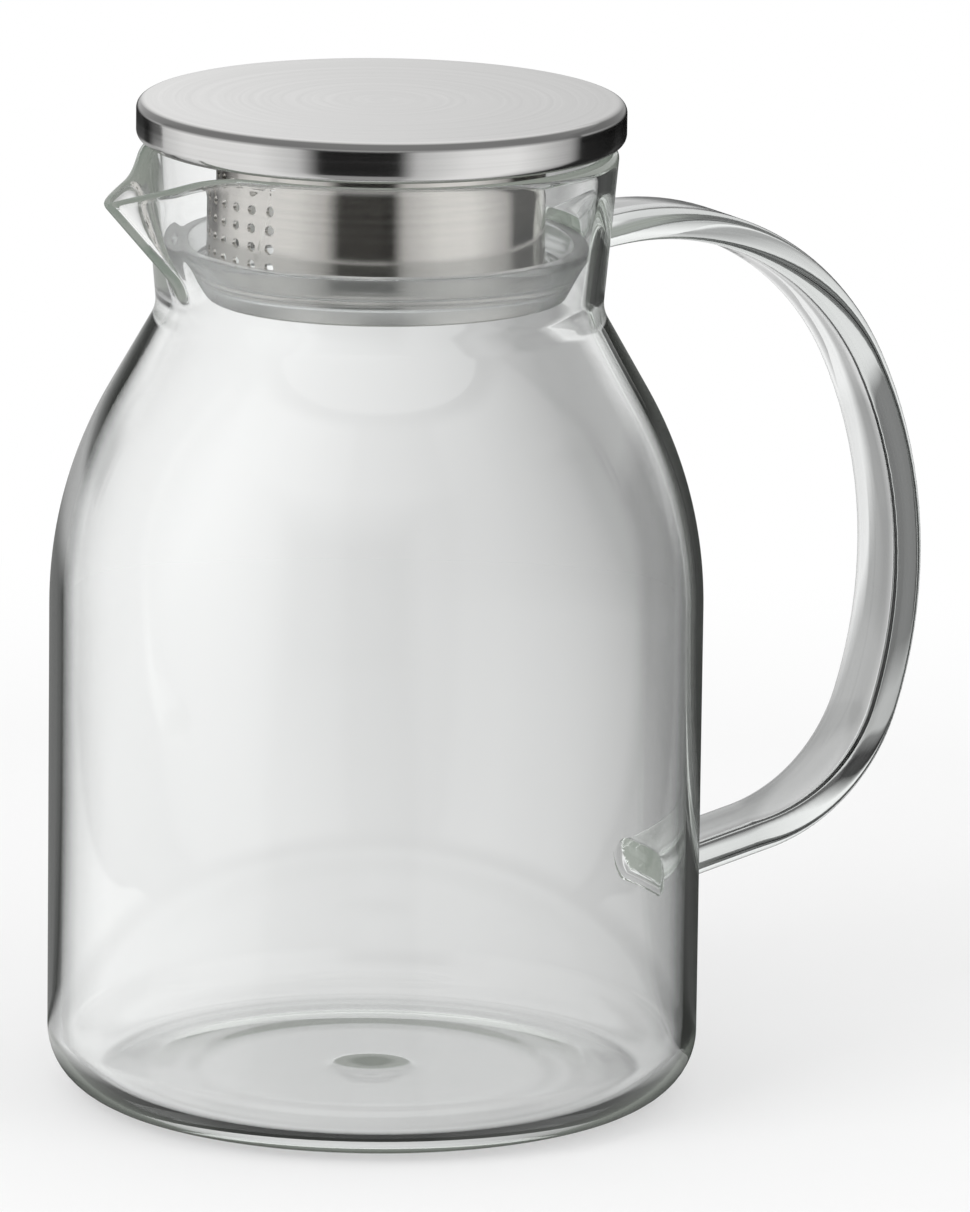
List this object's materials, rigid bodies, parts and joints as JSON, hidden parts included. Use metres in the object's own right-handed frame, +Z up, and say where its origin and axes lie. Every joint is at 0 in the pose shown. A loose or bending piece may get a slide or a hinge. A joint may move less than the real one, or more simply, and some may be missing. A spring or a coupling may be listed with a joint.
{
  "type": "glass pitcher with lid",
  "caption": "Clear glass jug with a straight body, sloping shoulder, pulled V spout and fused strap handle, closed by a flat brushed steel lid with a strainer tube and a silicone seal",
  "frame": {"origin": "centre of the base, on the surface the jug stands on", "axes": "+Z is up along the jug's axis, the handle points along +X and the spout along -X"},
  "size_m": [0.1925, 0.134, 0.2061],
  "materials": {
    "glass": "clear blown glass, smooth, faintly green where it is thick",
    "steel": "stainless steel, fine brushing in circles on the lid's top and round its side and tube",
    "silicone": "translucent silicone rubber, satin"
  },
  "bodies": {
    "jug": {"glass_jug": "glass", "glass_handle": "glass"},
    "seal": {"silicone_seal": "silicone"},
    "lid": {"strainer_tube": "steel", "lid_liner": "steel", "lid_cap": "steel"}
  },
  "joints": [
    {"name": "lid_lift", "type": "slide", "parent": "jug", "child": "seal", "axis": [0, 0, 1], "range_m": [0, 0.08]},
    {"name": "lid_turn", "type": "hinge", "parent": "seal", "child": "lid", "pos_m": [0, 0, 0.18], "axis": [0, 0, 1], "continuous": true}
  ]
}
